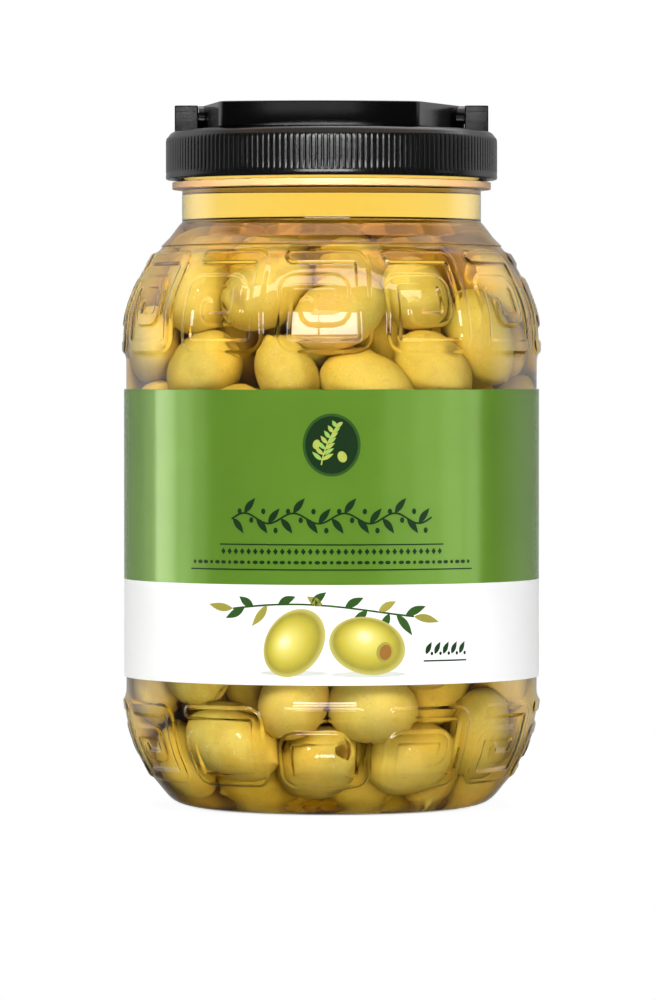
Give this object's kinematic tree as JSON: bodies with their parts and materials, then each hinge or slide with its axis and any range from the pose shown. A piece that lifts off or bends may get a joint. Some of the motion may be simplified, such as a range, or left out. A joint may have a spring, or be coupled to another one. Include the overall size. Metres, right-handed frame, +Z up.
{
  "type": "jar of green olives",
  "caption": "Clear wide-mouth plastic jar full of pitted green olives in brine, with moulded Greek-key bands, wrap-round label and black ribbed screw cap with folding carry handle.",
  "frame": {"origin": "centre of the foot ring, on the surface the jar stands on", "axes": "+Z up along the jar's axis, -Y is the front, where the folded handle's grip lies, and X is the handle's hinge line"},
  "size_m": [0.1438, 0.1438, 0.2389],
  "materials": {
    "clear_plastic": "clear gloss",
    "brine": "clear liquid",
    "label": "satin film",
    "black_plastic": "satin",
    "olive": "waxy skin"
  },
  "bodies": {
    "jar": {"jar": "clear_plastic", "brine": "brine", "label": "label", "cap": "black_plastic"},
    "handle": {"handle": "black_plastic"}
  },
  "joints": [
    {"name": "handle_swing", "type": "hinge", "parent": "jar", "child": "handle", "pos_m": [0, 0, 0.2347], "axis": [-1, 0, 0], "range_deg": [0, 180]}
  ]
}
